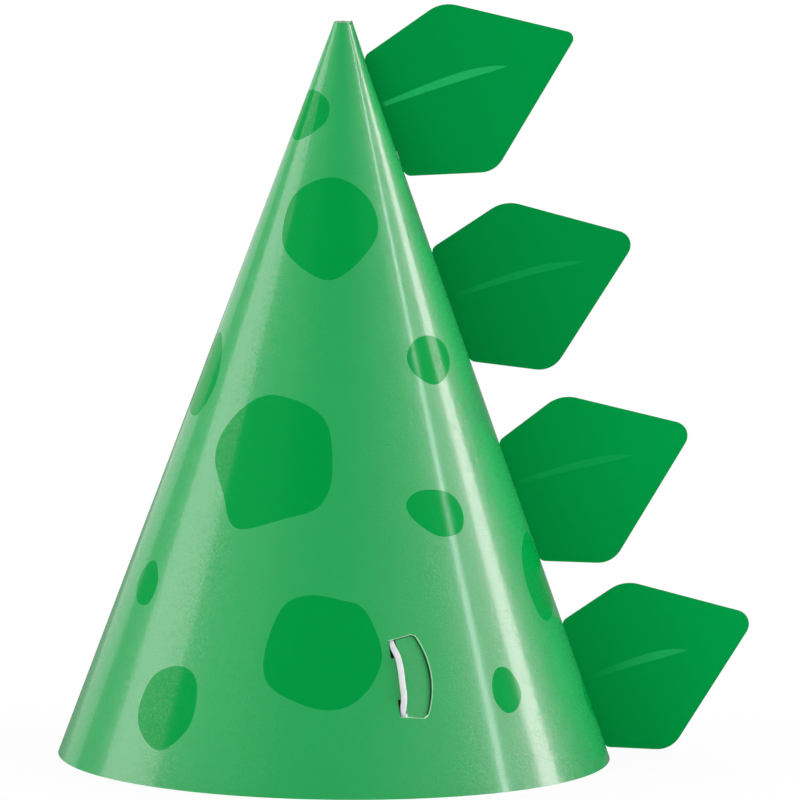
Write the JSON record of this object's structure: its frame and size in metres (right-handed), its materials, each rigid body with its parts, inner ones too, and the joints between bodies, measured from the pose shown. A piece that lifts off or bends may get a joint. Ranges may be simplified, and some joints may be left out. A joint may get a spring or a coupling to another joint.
{
  "type": "party hat",
  "caption": "Cone party hat of rolled green card with a row of leaf-shaped card spikes up one side and a white chin elastic held by cut flaps.",
  "frame": {"origin": "centre of the rim, in the plane that the hat stands on, on the cone's axis", "axes": "+Z along the cone's axis to its tip, +X towards the row of spikes"},
  "size_m": [0.1601, 0.127, 0.1739],
  "materials": {
    "cone_card": "pearl-coated printed card, satin",
    "spike_card": "printed card, satin",
    "elastic_cord": "braided elastic"
  },
  "bodies": {
    "root": {"cone": "cone_card", "spike_1": "spike_card", "spike_2": "spike_card", "spike_3": "spike_card", "spike_4": "spike_card", "elastic": "elastic_cord", "knot_1": "elastic_cord", "knot_2": "elastic_cord"}
  },
  "joints": []
}
